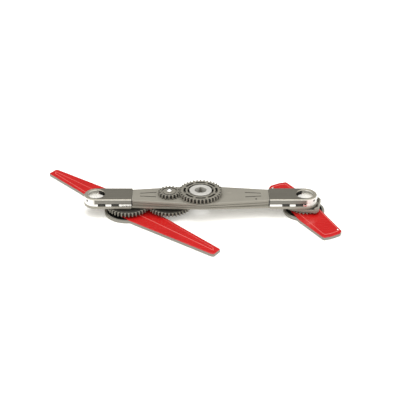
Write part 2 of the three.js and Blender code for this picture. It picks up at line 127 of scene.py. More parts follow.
def arm_outline(at_hub, at_cap, reach=CAP_START - 0.4):
    """The arm's plan: half width falls from the hub to the caps along a hyperbola, so that
    the sides are straight near the caps and round over the hub."""
    x = np.linspace(-reach, reach, 61)
    soft = 9.0
    fall = (np.sqrt(x * x + soft * soft) - soft) / (math.hypot(reach, soft) - soft)
    width = at_hub + (at_cap - at_hub) * fall
    lower = np.column_stack([x, -width])
    return np.concatenate([lower, -lower]) + (HUB_X, 0)


def cap_outline(radius, start):
    """A straight-sided outline from `start` to a half-round nose about the eye's axis."""
    nose = arc(radius, -90, 90, 49, (EYE_REACH, 0))
    return np.concatenate([[(start, -radius)], nose, [(start, radius)]])


def gear_outline(teeth, flank_clearance=0.1, tip_relief=0.1):
    """An involute gear of module 1 and 20 degrees pressure angle, with a tooth on +X. The
    half angle of a tooth at radius r is its value at the pitch circle plus inv(20) - inv(r)."""
    pitch = teeth / 2
    tip, root = pitch + 1 - tip_relief, pitch - 1.25
    base = pitch * math.cos(math.radians(20))
    radii = np.concatenate([[root, root + 0.12], np.linspace(max(base, root + 0.3), tip - 0.12, 4), [tip]])
    spread = np.array([0.26, 0.08, 0, 0, 0, 0, -0.1]) / radii
    pressure = np.arccos(np.clip(base / radii, -1, 1))
    pitch_pressure = math.radians(20)
    half = (math.pi / 2 - flank_clearance) / (2 * pitch)
    half = half + math.tan(pitch_pressure) - pitch_pressure - (np.tan(pressure) - pressure) + spread
    angle = np.concatenate([-half, half[::-1]])
    radius = np.concatenate([radii, radii[::-1]])
    centre = np.arange(teeth)[:, None] * 2 * math.pi / teeth
    angle = (centre + angle).ravel()
    radius = np.tile(radius, teeth)
    return np.column_stack([np.cos(angle), np.sin(angle)]) * radius[:, None]


def slot_outline(inner, outer, middle, span, count=9):
    """An arc-shaped slot between two radii, `span` degrees long, with its corners cut."""
    soft = math.degrees(0.35 / outer)
    first, last = middle - span / 2, middle + span / 2
    return np.concatenate([
        arc(outer, first + soft, last - soft, count),
        arc(outer - 0.35, last, last, 1),
        arc(inner + 0.35, last, last, 1),
        arc(inner, last - soft, first + soft, count),
        arc(inner + 0.35, first, first, 1),
        arc(outer - 0.35, first, first, 1),
    ])


def keyed_bore(radius, key_width, key_height):
    """A round bore with two keys that stand inwards on +Y and -Y."""
    half = key_width / 2
    edge = math.degrees(math.asin(half / radius))
    inner = radius - key_height
    right = arc(radius, -90 + edge, 90 - edge, 25)
    left = arc(radius, 90 + edge, 270 - edge, 25)
    return np.concatenate([right, [(half, inner), (-half, inner)], left, [(-half, -inner), (half, -inner)]])


# ---------------------------------------------------------------- bodies

def level_profile(bottom, top, edge, steps=3):
    """A straight wall between two quarter-round edges."""
    turn = np.linspace(0, math.pi / 2, steps + 1)
    lower = [(edge * (1 - math.sin(a)), bottom + edge * (1 - math.cos(a))) for a in turn]
    upper = [(edge * (1 - math.cos(a)), top - edge * (1 - math.sin(a))) for a in turn]
    return lower + upper


def flat_face(loops, index, up):
    """Triangles across a flat region bounded by loops, turned to face up or down."""
    flat = [[Vector((x, y, 0)) for x, y in loop] for loop in loops]
    triangles = np.array(tessellate_polygon(flat))
    a, b, c = np.concatenate(loops)[triangles].transpose(1, 0, 2)
    area = (b - a)[:, 0] * (c - a)[:, 1] - (b - a)[:, 1] * (c - a)[:, 0]
    triangles = np.where(((area > 0) == up)[:, None], triangles, triangles[:, ::-1])
    return index[triangles]


def carried(contours):
    """A closed body from stacks of rings: each contour is (rings, sign), rings being an
    array (levels, points, 3), and sign 1 for the outside or -1 for a hole."""
    points, quads, first, last, start = [], [], [], [], 0
    for rings, sign in contours:
        levels, count = rings.shape[:2]
        index = start + np.arange(levels * count).reshape(levels, count)
        low, high = index[:-1], index[1:]
        wall = np.stack([low, np.roll(low, -1, 1), np.roll(high, -1, 1), high], -1).reshape(-1, 4)
        quads.append(wall if sign > 0 else wall[:, ::-1])
        points.append(rings.reshape(-1, 3))
        first.append((rings[0, :, :2], index[0]))
        last.append((rings[-1, :, :2], index[-1]))
        start += levels * count
    faces = [
        flat_face([loop for loop, _ in ends], np.concatenate([ids for _, ids in ends]), up)
        for ends, up in ((first, False), (last, True))
    ]
    return np.concatenate(points), np.concatenate(quads), np.concatenate(faces)


def stacked(outline, profile, sign):
    """Rings of one outline, pushed in by each inset of the profile at its height."""
    return np.stack([
        np.column_stack([pushed(outline, sign * inset), np.full(len(outline), height)])
        for inset, height in profile
    ])


def plate(outline, profile, holes=()):
    """A body carried up from an outline. holes are outlines, or (outline, profile) pairs
    whose own profile starts and ends at the same heights; an inset widens a hole."""
    contours = [(stacked(outline, profile, 1), 1)]
    for hole in holes:
        hole_outline, hole_profile = hole if isinstance(hole, tuple) else (hole, profile)
        contours.append((stacked(hole_outline, hole_profile, -1), -1))
    return carried(contours)


def disc(radius, bottom, top, edge=0.15, centre=(0, 0), count=48):
    """A flat round body with rounded edges."""
    return plate(circle(radius, centre, count), level_profile(bottom, top, edge))


def ring(inner, outer, bottom, top, edge=0.12, centre=(0, 0), count=48):
    """A disc with a round hole, its edges rounded all round."""
    hole = circle(inner, centre, count)
    return plate(circle(outer, centre, count), level_profile(bottom, top, edge), [hole])


def block(x0, x1, y0, y1, z0, z1, edge=0.15):
    """A box between six limits, with rounded edges and corners."""
    outline = filleted([(x0, y0), (x1, y0), (x1, y1), (x0, y1)], max(edge, 0.02) * 1.5, 3)
    return plate(outline, level_profile(z0, z1, edge, 2) if edge else [(0, z0), (0, z1)])


def joined(*bodies):
    """Several bodies as one, with the indices of each moved past those before it."""
    starts = np.cumsum([0] + [len(body[0]) for body in bodies[:-1]])
    return tuple(
        np.concatenate([body[part] + (start if part else 0) for body, start in zip(bodies, starts)])
        for part in range(3)
    )


def placed(body, x=0.0, y=0.0, turn=0.0):
    """A body turned about Z and then moved."""
    c, s = math.cos(turn), math.sin(turn)
    points = body[0] @ np.array([[c, s, 0], [-s, c, 0], [0, 0, 1]]) + (x, y, 0)
    return points, body[1], body[2]


def bare_mesh(name, body):
    """A body as a Blender mesh, in metres."""
    points, quads, triangles = body
    mesh = bpy.data.meshes.new(name)
    mesh.from_pydata((points * MM).tolist(), [], quads.tolist() + triangles.tolist())
    return mesh


def carved(body, *cutters):
    """A body with other bodies cut out of it."""
    target = bpy.data.objects.new("blank", bare_mesh("blank", body))
    bpy.context.collection.objects.link(target)
    tools = []
    for cutter in cutters:
        tool = bpy.data.objects.new("cutter", bare_mesh("cutter", cutter))
        bpy.context.collection.objects.link(tool)
        cut = target.modifiers.new("cut", "BOOLEAN")
        cut.operation, cut.solver, cut.object = "DIFFERENCE", "EXACT", tool
        tools.append(tool)
    mesh = bpy.data.meshes.new_from_object(target.evaluated_get(bpy.context.evaluated_depsgraph_get()))
    mesh.calc_loop_triangles()
    points = np.empty(len(mesh.vertices) * 3)
    mesh.vertices.foreach_get("co", points)
    triangles = np.empty(len(mesh.loop_triangles) * 3, int)
    mesh.loop_triangles.foreach_get("vertices", triangles)
    for scrap in [target, *tools]:
        bpy.data.meshes.remove(scrap.data)
    bpy.data.meshes.remove(mesh)
    return points.reshape(-1, 3) / MM, np.empty((0, 4), int), triangles.reshape(-1, 3)


def crease(mesh):
    """Smooth shading within 32 degrees, with an edge round every level face, so that a wide
    flat face stays flat: an edge is sharp where one of its two faces is level and one not."""
    mesh.shade_smooth()
    mesh.set_sharp_from_angle(angle=math.radians(32))
    normal = np.empty(len(mesh.polygons) * 3)
    mesh.polygons.foreach_get("normal", normal)
    level = np.abs(normal.reshape(-1, 3)[:, 2]) > 0.99999
    sides = np.empty(len(mesh.polygons), int)
    mesh.polygons.foreach_get("loop_total", sides)
    edge_of_loop = np.empty(len(mesh.loops), int)
    mesh.loops.foreach_get("edge_index", edge_of_loop)
    level_sides = np.bincount(edge_of_loop, np.repeat(level, sides), len(mesh.edges))
    sharp = np.empty(len(mesh.edges), bool)
    mesh.edges.foreach_get("use_edge_sharp", sharp)
    mesh.edges.foreach_set("use_edge_sharp", sharp | (level_sides == 1))


def mesh_piece(name, body, material, rides, nodes=()):
    """A finished piece with its creases and material, riding on a CAD body."""
    mesh = bare_mesh(name, body)
    crease(mesh)
    mesh.materials.append(material)
    piece = bpy.data.objects.new(name, mesh)
    bpy.context.collection.objects.link(piece)
    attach(piece, rides)
    if nodes:
        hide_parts(*nodes)
    return piece


# ---------------------------------------------------------------- materials

class Value:
    """A shader socket that Python arithmetic can be done on."""

    def __init__(self, tree, socket=None):
        self.tree = tree
        self.socket = socket

    def node(self, kind, settings=(), inputs=(), output=0):
        """A node of that kind: its settings come first, then the values or links of its
        input sockets, by name or number."""
        made = self.tree.nodes.new(kind)
        for key, value in dict(settings).items():
            setattr(made, key, value)
        for key, value in dict(inputs).items():
            if isinstance(value, Value):
                self.tree.links.new(value.socket, made.inputs[key])
            else:
                made.inputs[key].default_value = value
        return Value(self.tree, made.outputs[output])

    def math(self, operation, *others):
        """A Math node on this value and the others."""
        return self.node("ShaderNodeMath", {"operation": operation}, dict(enumerate((self, *others))))

    def __add__(self, other):
        return self.math("ADD", other)

    def __sub__(self, other):
        return self.math("SUBTRACT", other)

    def __rsub__(self, other):
        return self.node("ShaderNodeMath", {"operation": "SUBTRACT"}, {0: other, 1: self})

    def __mul__(self, other):
        return self.math("MULTIPLY", other)

    __radd__ = __add__
    __rmul__ = __mul__

    def step(self, low, high):
        """0 below low, 1 above high, smooth between."""
        smooth = {"interpolation_type": "SMOOTHSTEP"}
        return self.node("ShaderNodeMapRange", smooth, {0: self, 1: low, 2: high})

    def mix(self, first, second):
        """The colour `first` where this is 0 and `second` where it is 1."""
        return self.node("ShaderNodeMix", {"data_type": "RGBA"}, {0: self, 6: first, 7: second}, 2)

    def where(self, axis):
        """The place on the resting object along axis 0, 1 or 2, in millimetres."""
        place = self.node("ShaderNodeTexCoord", output=3)
        return self.node("ShaderNodeSeparateXYZ", inputs={0: place}, output=axis) * (1 / MM)

    def reach(self):
        """Distance along the arm from the hub axis, in millimetres."""
        return (self.where(0) - HUB_X).math("ABSOLUTE")

    def height(self):
        """Height above the floor, in millimetres."""
        return self.where(2)

    def noise(self, scale, detail=3.0, stretch=(1, 1, 1)):
        """Noise of that scale, with its coordinates multiplied by `stretch` first."""
        place = self.node("ShaderNodeTexCoord", output=3)
        place = self.node("ShaderNodeMapping", inputs={0: place, 3: stretch})
        return self.node("ShaderNodeTexNoise", inputs={"Vector": place, "Scale": scale, "Detail": detail})

    def radius(self, centre_x, lean=0.0):
        """Distance from an upright axis in millimetres, with `lean` of the height mixed in."""
        place = self.node("ShaderNodeTexCoord", output=3)
        shift = (-centre_x * MM, 0, 0)
        place = self.node("ShaderNodeMapping", inputs={0: place, 1: shift, 3: (1, 1, lean)})
        return self.node("ShaderNodeVectorMath", {"operation": "LENGTH"}, {0: place}, 1) * (1 / MM)


def grey(level, warmth=0.0):
    """A linear grey, warmer as warmth rises."""
    return (level, level * (1 - 0.35 * warmth), level * (1 - 1.2 * warmth), 1)


def new_material(name):
    """A material, a Value on its nodes to start from, and its shader."""
    material = bpy.data.materials.new(name)
    material.use_nodes = True
    shader = material.node_tree.nodes["Principled BSDF"]
    return material, Value(material.node_tree), shader


def feed(shader, tree, **sockets):
    """Links Values to the shader's sockets and sets plain numbers on them."""
    for key, value in sockets.items():
        target = shader.inputs[key.replace("_", " ")]
        if isinstance(value, Value):
            tree.links.new(value.socket, target)
        else:
            target.default_value = value


def bump(values, height, distance, strength):
    """A normal tilted by that height pattern; the distance is in metres."""
    sockets = {"Strength": strength, "Distance": distance, "Height": height}
    return values.node("ShaderNodeBump", inputs=sockets)


def moulded_plastic(name, colour, light, roughness, grain=2600):
    """Moulded plastic: flow marks in the colour, a fine spark-eroded grain and rubbed spots."""
    material, v, shader = new_material(name)
    flow = v.noise(55, 4, (0.5, 1, 1)).step(0.3, 0.7)
    speck = v.noise(900, 2).step(0.35, 0.75)
    worn = v.noise(130, 5).step(0.6, 0.75)
    tone = (flow * 0.6 + speck * 0.4).mix(colour, light)
    rubbed = (worn * 0.25).mix(tone, [min(1, c * 1.35) for c in light])
    fine = v.noise(grain, 3)
    feed(shader, v.tree, Base_Color=rubbed, Roughness=roughness + 0.14 * speck - 0.12 * worn,
         Normal=bump(v, fine, 0.00006, 0.45))
    return material


def shell_plastic():
    """The shells' moulded plastic, painted black for shade where it runs into the caps and in
    the strokes cut in the arm's top, and paler on the lowest band."""
    material = moulded_plastic("shell_plastic", grey(0.206, 0.165), grey(0.238, 0.165), 0.48)
    v = Value(material.node_tree)
    socket = material.node_tree.nodes["Principled BSDF"].inputs["Base Color"]
    clean = Value(v.tree, socket.links[0].from_socket)
    reach, height, across = v.reach(), v.height(), v.where(1).math("ABSOLUTE")
    # Painted shade: black inside the caps and in the gap at their inner ends.
    in_cap = reach.step(CAP_START - 1.3, CAP_START - 0.7)
    in_cap = in_cap * height.step(10.72, 10.85) * (1 - height.step(16.4, 16.6))
    # Painted shade: black in the grooves and the pip cut in the arm's top.
    stroke = reach.step(30, 31) * (1 - reach.step(58, 59)) * (1 - across.step(8.5, 8.6))
    stroke = stroke * height.step(15.3, 15.4) * (1 - height.step(16.72, 16.78))
    band = (1 - height.step(BAND_TOP - 0.05, BAND_TOP + 0.15)) * 0.7
    black = in_cap.math("MAXIMUM", stroke) * 0.96
    tone = black.mix(band.mix(clean, grey(0.28, 0.165)), grey(0.02, 0.15))
    v.tree.links.new(tone.socket, socket)
    return material


def gear_plastic(name, centre_x, teeth, shaded_face=False):
    """Moulded gear: as moulded plastic, with painted shade on the upright faces between its
    teeth, which thins out towards the tips, and in its slots; a shaded face is painted black up
    to the roots of its teeth as well, for the shade under the arm."""
    material, v, shader = new_material(name)
    radius, pitch = v.radius(centre_x), teeth / 2
    facing = v.node("ShaderNodeNewGeometry", output=3)
    tilt = v.node("ShaderNodeSeparateXYZ", inputs={0: facing}, output=2).math("ABSOLUTE")
    # Painted shade: upright faces inside the pitch circle are darkened for the shade between the teeth.
    upright = 1 - tilt.step(0.35, 0.7)
    between = 1 - radius.step(pitch - 0.2, pitch + 0.85)
    mottle = v.noise(500, 4).step(0.3, 0.75)
    painted_shade = upright * between * (0.85 + 0.15 * mottle)
    # Painted shade: a shaded face, which sits under the arm, is black up to the tooth roots.
    if shaded_face:
        painted_shade = painted_shade.math("MAXIMUM", (1 - radius.step(pitch - 1.7, pitch - 0.9)) * 0.93)
    flow = v.noise(55, 4, (0.5, 1, 1)).step(0.3, 0.7)
    tone = (flow * 0.6 + mottle * 0.4).mix(grey(0.165, 0.18), grey(0.205, 0.18))
    feed(shader, v.tree, Base_Color=painted_shade.mix(tone, grey(0.012, 0.15)), Roughness=0.42 + 0.14 * mottle,
         Normal=bump(v, v.noise(3400, 3), 0.00006, 0.45))
    return material


def gloss_red(name, quiet_edge=None):
    """Gloss red plastic: faint swirl marks, dust, orange peel, and a painted highlight along the
    crest. A quiet edge is a blade's axis and direction: the painted highlight on the crest on its left is
    weaker."""
    material, v, shader = new_material(name)
    cloud = v.noise(38, 4).step(0.3, 0.7)
    dust = v.noise(1500, 2).step(0.66, 0.8)
    # Painted highlight: the crest round the panel is painted paler red.
    crest = v.height().step(3.41, 3.47)
    if quiet_edge:
        x, turn = quiet_edge
        left = v.where(1) * math.cos(turn) - (v.where(0) - x) * math.sin(turn)
        crest = crest * (1 - left.step(0.5, 3) * 0.75)
    tone = cloud.mix((0.42, 0.006, 0.006, 1), (0.465, 0.009, 0.008, 1))
    tone = (dust * 0.2).mix(tone, (0.7, 0.20, 0.18, 1))
    # The pale crest colour is a painted highlight.
    tone = (crest * 0.6).mix(tone, (0.80, 0.22, 0.20, 1))
    scratch = v.noise(260, 2, (0.4, 6, 1)).step(0.55, 0.75)
    peel = v.noise(420, 2)
    feed(shader, v.tree, Base_Color=tone, Roughness=0.24 + 0.14 * scratch + 0.1 * dust,
         Normal=bump(v, peel, 0.00005, 0.3), Coat_Weight=0.15, Coat_Roughness=0.12)
    return material


def brushed(v):
    """Fine parallel scratches, drawn out along X."""
    return v.noise(60, 3, (0.6, 60, 60)) * 0.5 + v.noise(110, 4, (0.42, 60, 60)) * 0.5


def cap_steel():
    """Cap sheet: brushed dull on its top and on the upper side wall, polished on the bevel
    and on the lower strip, satin round the nose, with grease marks. The side wall's brushed
    steel is painted darker than the top's, as painted shade, and the nose holes are painted black
    for the shade in them."""
    material, v, shader = new_material("cap_steel")
    reach, height, lines = v.reach(), v.height(), brushed(v)
    top = height.step(17.08, 17.15)
    nose = reach.step(90.5, 92.5)
    side = height.step(12.75, 12.9) * (1 - height.step(16.85, 16.92)) * (1 - nose)
    dull = top + side
    # Painted shade: black round and inside the small nose holes.
    apart = (reach - EYE_REACH - NOSE_HOLE_OFFSET, v.where(1).math("ABSOLUTE") - NOSE_HOLE_OFFSET,
             height - NOSE_HOLE_Z)
    hole = 1 - (apart[0] * apart[0] + apart[1] * apart[1] + apart[2] * apart[2]).step(1.0, 1.4)
    marks = v.noise(90, 5).step(0.35, 0.7)
    grain = lines.step(0.3, 0.7)
    brushed_top = grain.mix(grey(0.37, 0.17), grey(0.47, 0.17))
    # Painted shade: the upright side's brushed steel is a darker copy of the top's.
    shaded_brushed_side = grain.mix(grey(0.165, 0.12), grey(0.20, 0.12))
    polished = marks.mix(grey(0.86, 0.03), grey(0.72, 0.04))
    tone = hole.mix(dull.mix(polished, side.mix(brushed_top, shaded_brushed_side)), grey(0.02, 0.1))
    rough = dull * (0.30 + 0.16 * lines) + (1 - dull) * (0.20 + 0.08 * marks) + nose * 0.18
    feed(shader, v.tree, Base_Color=tone, Metallic=1 - nose * (1 - top) * 0.85, Roughness=rough,
         Normal=bump(v, lines * (0.25 + 0.75 * dull), 0.00002, 0.5))
    return material


def bright_steel(name, level=0.88, roughness=0.08):
    """Polished steel with faint wipe marks and pits."""
    material, v, shader = new_material(name)
    marks = v.noise(160, 5).step(0.35, 0.7)
    pits = v.noise(2400, 2).step(0.68, 0.8)
    tone = (marks * 0.6 + pits * 0.4).mix(grey(level, 0.03), grey(level * 0.8, 0.05))
    feed(shader, v.tree, Base_Color=tone, Metallic=1.0,
         Roughness=roughness + 0.1 * marks + 0.2 * pits, Normal=bump(v, pits, 0.00002, 0.3))
    return material


def turned_steel(name, level, centre_x, roughness):
    """Steel faced on a lathe: rings of fine grooves about an axis parallel to Z, round a
    bore painted dark grey for the shade inside it."""
    material, v, shader = new_material(name)
    radius = v.radius(centre_x, 0.02)
    rings = (radius * 22).math("SINE") * 0.5 + 0.5
    rings = rings * 0.6 + v.noise(700, 3) * 0.4
    marks = v.noise(120, 4).step(0.35, 0.7)
    # Painted shade: the bore's walls and keys are dark grey.
    faced = radius.step(4.8, 5.3)
    tone = (rings * 0.5 + marks * 0.5).mix(grey(level, 0.05), grey(level * 0.86, 0.06))
    feed(shader, v.tree, Base_Color=faced.mix(grey(0.16, 0.15), tone), Metallic=0.35,
         Roughness=roughness + 0.12 * rings, Normal=bump(v, rings, 0.00001, 0.5))
    return material


def satin_steel(name):
    """Bright-plated steel with a soft satin bloom, and painted shade: grey on the wall above
    the cup's floor, and black on that wall's outer side, which faces into the dark cap."""
    material, v, shader = new_material(name)
    bloom = v.noise(60, 3).step(0.3, 0.7)
    # Painted shade: the wall above the floor is grey.
    wall = v.height().step(EYE_FLOOR + 0.1, EYE_FLOOR + 0.5)
    along, across = v.reach() - EYE_REACH, v.where(1)
    rim = CUP_WALL[1]
    # Painted shade: the wall's outer side is black.
    outside = (along * along + across * across).step((rim - 0.08) ** 2, (rim - 0.02) ** 2)
    tone = wall.mix(bloom.mix(grey(0.92, 0.04), grey(0.87, 0.05)), grey(0.34, 0.1))
    feed(shader, v.tree, Base_Color=outside.mix(tone, grey(0.02, 0.1)), Metallic=0.35,
         Roughness=0.24 + 0.08 * bloom, Normal=bump(v, v.noise(300, 2), 0.000004, 0.3))
    return material


def black_rubber():
    """Matt rubber with a pebbled skin and grey dust."""
    material, v, shader = new_material("black_rubber")
    place = v.node("ShaderNodeTexCoord", output=3)
    pebble = v.node("ShaderNodeTexVoronoi", {"feature": "F1"}, {"Vector": place, "Scale": 1400.0})
    dust = v.noise(240, 5).step(0.45, 0.8)
    tone = (dust * 0.35).mix((0.004, 0.004, 0.004, 1), (0.03, 0.029, 0.027, 1))
    feed(shader, v.tree, Base_Color=tone, Roughness=0.62 + 0.25 * dust,
         Normal=bump(v, pebble, 0.00008, 0.5), Specular_IOR_Level=0.12)
    return material


def sintered_bronze():
    """Oil-filled bronze: speckled with pores."""
    material, v, shader = new_material("sintered_bronze")
    pores = v.noise(3200, 2).step(0.5, 0.7)
    feed(shader, v.tree, Base_Color=pores.mix((0.50, 0.30, 0.12, 1), (0.22, 0.12, 0.05, 1)),
         Metallic=1.0, Roughness=0.32 + 0.3 * pores, Normal=bump(v, pores, 0.00003, 0.6))
    return material


SHELL = shell_plastic()
GEAR = moulded_plastic("gear_plastic", grey(0.165, 0.18), grey(0.20, 0.18), 0.42, 3400)
BASE = moulded_plastic("base_plastic", grey(0.20, 0.14), grey(0.23, 0.14), 0.5)
SUN_GEAR = gear_plastic("sun_plastic", HUB_X, WHEEL_TEETH)
PINION_GEAR = gear_plastic("pinion_plastic", IDLER_X, PINION_TEETH)
IDLER_GEAR = gear_plastic("idler_plastic", IDLER_X, WHEEL_TEETH, True)
BLADE_GEAR = gear_plastic("blade_gear_plastic", LONG_X, WHEEL_TEETH, True)
BRACKET = moulded_plastic("bracket_plastic", grey(0.205, 0.165), grey(0.24, 0.165), 0.46)
RED = gloss_red("gloss_red")
LONG_RED = gloss_red("long_blade_red", (LONG_X, LONG_TURN))
CAP = cap_steel()
BRIGHT = bright_steel("bright_steel")
HUB_STEEL = turned_steel("hub_steel", 0.54, HUB_X, 0.42)
CUP_STEEL = satin_steel("cup_steel")
DULL_STEEL = bright_steel("dull_steel", 0.45, 0.28)
RUBBER = black_rubber()
BRONZE = sintered_bronze()


# ---------------------------------------------------------------- arm

def morphing(levels, outline_of):
    """Rings whose outline itself changes: each level is (arguments..., height)."""
    return np.stack([
        np.column_stack([outline, np.full(len(outline), level[-1])])
        for level in levels for outline in [outline_of(*level[:-1])]
    ])


def upper_shell():
    """The arm's top half, hollow from below: ceiling, inner wall, rim, then the outer wall
    with one moulding line, up to the rounded top edge."""
    levels = [
        (14.4, 8.1, 15.2), (14.0, 8.1, 12.3), (14.9, 9.05, 12.3), (15.0, 9.15, 12.4), (15.15, 9.3, 12.5),
        (15.55, 9.5, 14.0), (15.0, 8.95, 14.1), (15.0, 8.95, 14.6), (15.75, 9.6, 14.7), (15.9, 9.7, 14.85),
        (16.0, 9.7, 16.0), (15.9, 9.6, 16.35), (15.6, 9.3, 16.65), (15.2, 8.9, 16.8),
    ]
    hole_profile = [(1.4, 15.2), (1.4, 12.3), (0, 12.3), (0, 16.8)]
    hub_hole = circle(7.0, (HUB_X, 0))
    shaft_hole = circle(3.45, (IDLER_X, 0), 32)
    contours = [(morphing(levels, arm_outline), 1)]
    contours += [(stacked(hole, hole_profile, -1), -1) for hole in (hub_hole, shaft_hole)]
    body = carried(contours)
    grooves = [
        placed(block(-7, 7, -0.47, 0.47, SHELL_TOP - 0.7, SHELL_TOP + 1, 0),
               HUB_X + side * 45.5, half * 3.2, -side * half * math.atan2(1.4, 14))
        for side in (-1, 1) for half in (-1, 1)
    ]
    pip = disc(0.85, SHELL_TOP - 1.3, SHELL_TOP + 1, 0, (HUB_X + 47.8, -7.7), 20)
    body = carved(body, *grooves, pip)
    flange_profile = [
        (1.2, 15.9), (0.5, 16.0), (0.1, 16.15), (0, 16.35), (0, 17.0), (0.1, 17.2), (0.35, 17.3),
    ]
    flange = plate(circle(18.7, (HUB_X, 0), 128), flange_profile,
                   [(hub_hole, [(0, 15.9), (0, 17.3)])])
    pillars = [ring(1.25, 2.7, 12.3, 15.5, 0.1, (HUB_X + x, 0), 24) for x in SCREW_PLACES]
    tongues = [
        block(HUB_X + min(a, b), HUB_X + max(a, b), y0, y1, z0, z1, 0.1)
        for side in (-1, 1)
        for a, b in [(side * (CAP_START - 2), side * TONGUE_END)]
        for y0, y1, z0, z1 in [(-9.6, 9.6, 15.3, 16.5), (-9.6, -8, 12.3, 15.4), (8, 9.6, 12.3, 15.4)]
    ]
    return joined(body, flange, *pillars, *tongues)


def band_outline():
    """The lowest band of the arm: round-ended under the caps, waisted between them."""
    waist = arm_outline(11.9, 9.4, CAP_START + 0.1)
    count = len(waist) // 2
    right = arc(11, -90, 90, 41, (HUB_X + EYE_REACH, 0))
    left = arc(11, 90, 270, 41, (HUB_X - EYE_REACH, 0))
    shoulder = CAP_START + 0.3
    return np.concatenate([
        waist[:count], [(HUB_X + shoulder, -11)], right, [(HUB_X + shoulder, 11)],
        waist[count:], [(HUB_X - shoulder, 11)], left, [(HUB_X - shoulder, -11)],
    ])


def lower_shell():
    """The arm's tray: the band, a wall that leans out up to the seam, tabs for the caps'
    windows, bosses for the shafts, and the pockets in its underside."""
    wall_profile = [(0.45, 8.5), (0.12, 8.6), (0, 8.8), (0, 10.4), (0.12, 10.6), (0.35, BAND_TOP)]
    pockets = [disc(9.3, 7, 9.7, 0, (HUB_X, 0)), disc(7.0, 7, 12, 0, (HUB_X, 0))]
    pockets += [disc(3.45, 7, 12, 0, (IDLER_X, 0), 32), disc(4.65, 7, 12, 0, (LONG_X, 0), 32)]
    pockets += [disc(3.1, 7, 12, 0, (SHORT_X, 0), 32)]
    for x in SCREW_PLACES:
        pockets += [disc(2.6, 7, 9.7, 0, (HUB_X + x, 0), 24), disc(1.35, 7, 12, 0, (HUB_X + x, 0), 16)]
    band = carved(plate(band_outline(), wall_profile), *pockets)
    levels = [
        (11.2, 8.7, 10.6), (11.3, 8.8, 10.8), (12.1, 9.1, 10.9), (14.2, 9.4, 11.5), (14.7, 9.5, 11.75),
        (14.5, 9.35, 11.85), (14.1, 9.0, 11.95), (13.9, 8.8, 12.2), (12.8, 7.9, 12.2), (10.4, 7.8, 10.8),
    ]
    holes = [circle(7.0, (HUB_X, 0)), circle(3.45, (IDLER_X, 0), 32)]
    contours = [(morphing(levels, arm_outline), 1)]
    contours += [(stacked(hole, [(0, 10.6), (0, 10.8)], -1), -1) for hole in holes]
    wall = carried(contours)
    tabs = [
        block(x - 2.3, x + 2.3, y - 0.6, y + 0.6, 10.4, 12.5, 0.3)
        for x in [HUB_X + end * place for end in (-1, 1) for place in WINDOW_PLACES]
        for y in (-9.4, 9.4)
    ]
    liner_walls = [
        block(HUB_X + min(a, b), HUB_X + max(a, b), side * 8.2 - 0.4, side * 8.2 + 0.4, 10.4, top, 0.1)
        for end in (-1, 1) for side in (-1, 1)
        for a, b, top in [
            (end * (CAP_START - 1), end * TONGUE_END, 12.2), (end * (TONGUE_END + 0.1), end * 88.6, 15.4),
        ]
    ]
    bosses = [ring(7.0, 9.3, 10.6, 12.2, 0.1, (HUB_X, 0)), ring(3.45, 5, 10.6, 12.2, 0.1, (IDLER_X, 0)),
              ring(4.65, 6.2, 9.9, 14.4, 0.1, (LONG_X, 0))]
    bosses += [ring(1.35, 2.7, 9.9, 12.2, 0.1, (HUB_X + x, 0), 24) for x in SCREW_PLACES]
    return joined(band, wall, *tabs, *liner_walls, *bosses)


def end_cap(catch_hole):
    """A steel cap: folded sheet with a rounded upper edge, a shallow step above the polished
    strip, a round eye, two windows a side, and a small hole each side of the nose. One cap
    has a square catch hole in its front wall too."""
    radius = 0.7
    turns = np.linspace(0, math.pi / 2, 7)
    edge = [(0.22 + radius * (1 - math.cos(a)), CAP_TOP - radius * (1 - math.sin(a))) for a in turns]
    profile = [
        (0.8, 16.7), (0.8, 10.95), (0.65, 10.8), (0.15, 10.8), (0, 10.95), (0.0, 12.6), (0.22, 12.85), *edge,
    ]
    eye_profile = [(0, 16.7), (0, 17.0), (0.08, 17.25), (0.25, 17.42), (0.5, CAP_TOP)]
    eye = circle(7.3, (EYE_REACH, 0), 72)
    blank = plate(cap_outline(CAP_HALF_WIDTH, CAP_START - 3), profile, [(eye, eye_profile)])
    cuts = [block(CAP_START - 6, CAP_START, -15, 15, 5, 25, 0)]
    cuts += [block(x - 3.3, x + 3.3, -15, 15, 8, 13.3, 0) for x in WINDOW_PLACES]
    if catch_hole:
        cuts.append(block(88.9, 91, -15, -5, 12.3, 13.7, 0))
    for side in (-1, 1):
        drill = disc(0.9, 0, 5, 0, (0, 0), 20)
        tilt = Matrix.Rotation(math.radians(45 * side), 3, "Z") @ Matrix.Rotation(math.pi / 2, 3, "Y")
        points = drill[0] @ np.array(tilt).T
        reach = CAP_HALF_WIDTH - 3
        heading = (math.cos(math.radians(45)) * reach, math.sin(math.radians(45)) * reach * side)
        cuts.append((points + (EYE_REACH + heading[0], heading[1], NOSE_HOLE_Z), drill[1], drill[2]))
    return carved(blank, *cuts)


def eye_liner():
    """A polished cup under the eye: a raised round floor in a tray, with a wall round the
    nose half only, so that it is open towards the arm."""
    centre = (EYE_REACH, 0)
    inner, outer = CUP_WALL
    wall_outline = np.concatenate([arc(outer, -100, 100, 49, centre), arc(inner, 100, -100, 49, centre)])
    wall = plate(wall_outline, level_profile(12.7, 16.5, 0.15, 2))
    tray = plate(arc(8.6, -100, 100, 49, centre), level_profile(12.2, 12.8, 0.1, 1))
    floor = disc(6.9, 12.7, EYE_FLOOR, 0.45, centre, 72)
    return joined(wall, tray, floor)


